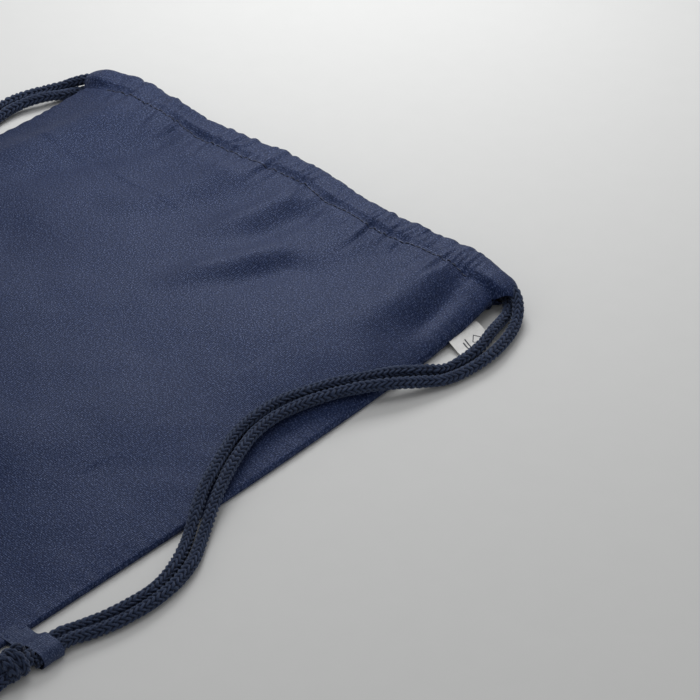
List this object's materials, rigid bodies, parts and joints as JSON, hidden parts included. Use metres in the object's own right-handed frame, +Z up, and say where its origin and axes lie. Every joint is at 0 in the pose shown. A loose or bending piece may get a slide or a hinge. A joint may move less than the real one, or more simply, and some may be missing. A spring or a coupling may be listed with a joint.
{
  "type": "drawstring backpack",
  "caption": "Flat cloth drawstring backpack lying on its back, with two braided cords that draw its hem shut, corner loops and a side label.",
  "frame": {"origin": "middle of the back panel's underside, on the surface that the bag lies on", "axes": "+X across the bag towards its right side, where the label is; +Y towards the hem and mouth; +Z up, out through the front panel"},
  "size_m": [0.4304, 0.4429, 0.0227],
  "materials": {
    "cloth": "matt, softly brushed navy cotton",
    "cord": "braided navy cotton cord",
    "thread": "navy sewing thread",
    "label": "white woven satin tape"
  },
  "bodies": {
    "bag": {"front_panel": "cloth", "back_panel": "cloth", "front_hem": "cloth", "back_hem": "cloth", "front_hem_stitching": "thread", "back_hem_stitching": "thread", "left_side_seam": "cloth", "right_side_seam": "cloth", "bottom_seam": "cloth", "left_seam_stitching": "thread", "right_seam_stitching": "thread", "bottom_seam_stitching": "thread", "left_corner_loop": "cloth", "right_corner_loop": "cloth", "label": "label", "right_knot": "cord", "right_tails": "cord", "left_knot": "cord", "left_tails": "cord"},
    "right_cord": {"right_cord_in_hem": "cord", "right_outer_strand": "cord", "right_inner_strand": "cord"},
    "left_cord": {"left_cord_in_hem": "cord", "left_outer_strand": "cord", "left_inner_strand": "cord"}
  },
  "joints": [
    {"name": "right_cord_draw", "type": "slide", "parent": "bag", "child": "right_cord", "axis": [1, 0, 0], "range_m": [0, 0.12], "deforming": ["front_hem", "back_hem", "right_outer_strand", "right_inner_strand"]},
    {"name": "left_cord_draw", "type": "slide", "parent": "bag", "child": "left_cord", "axis": [-1, 0, 0], "range_m": [0, 0.12], "deforming": ["front_hem", "back_hem", "left_outer_strand", "left_inner_strand"]}
  ]
}
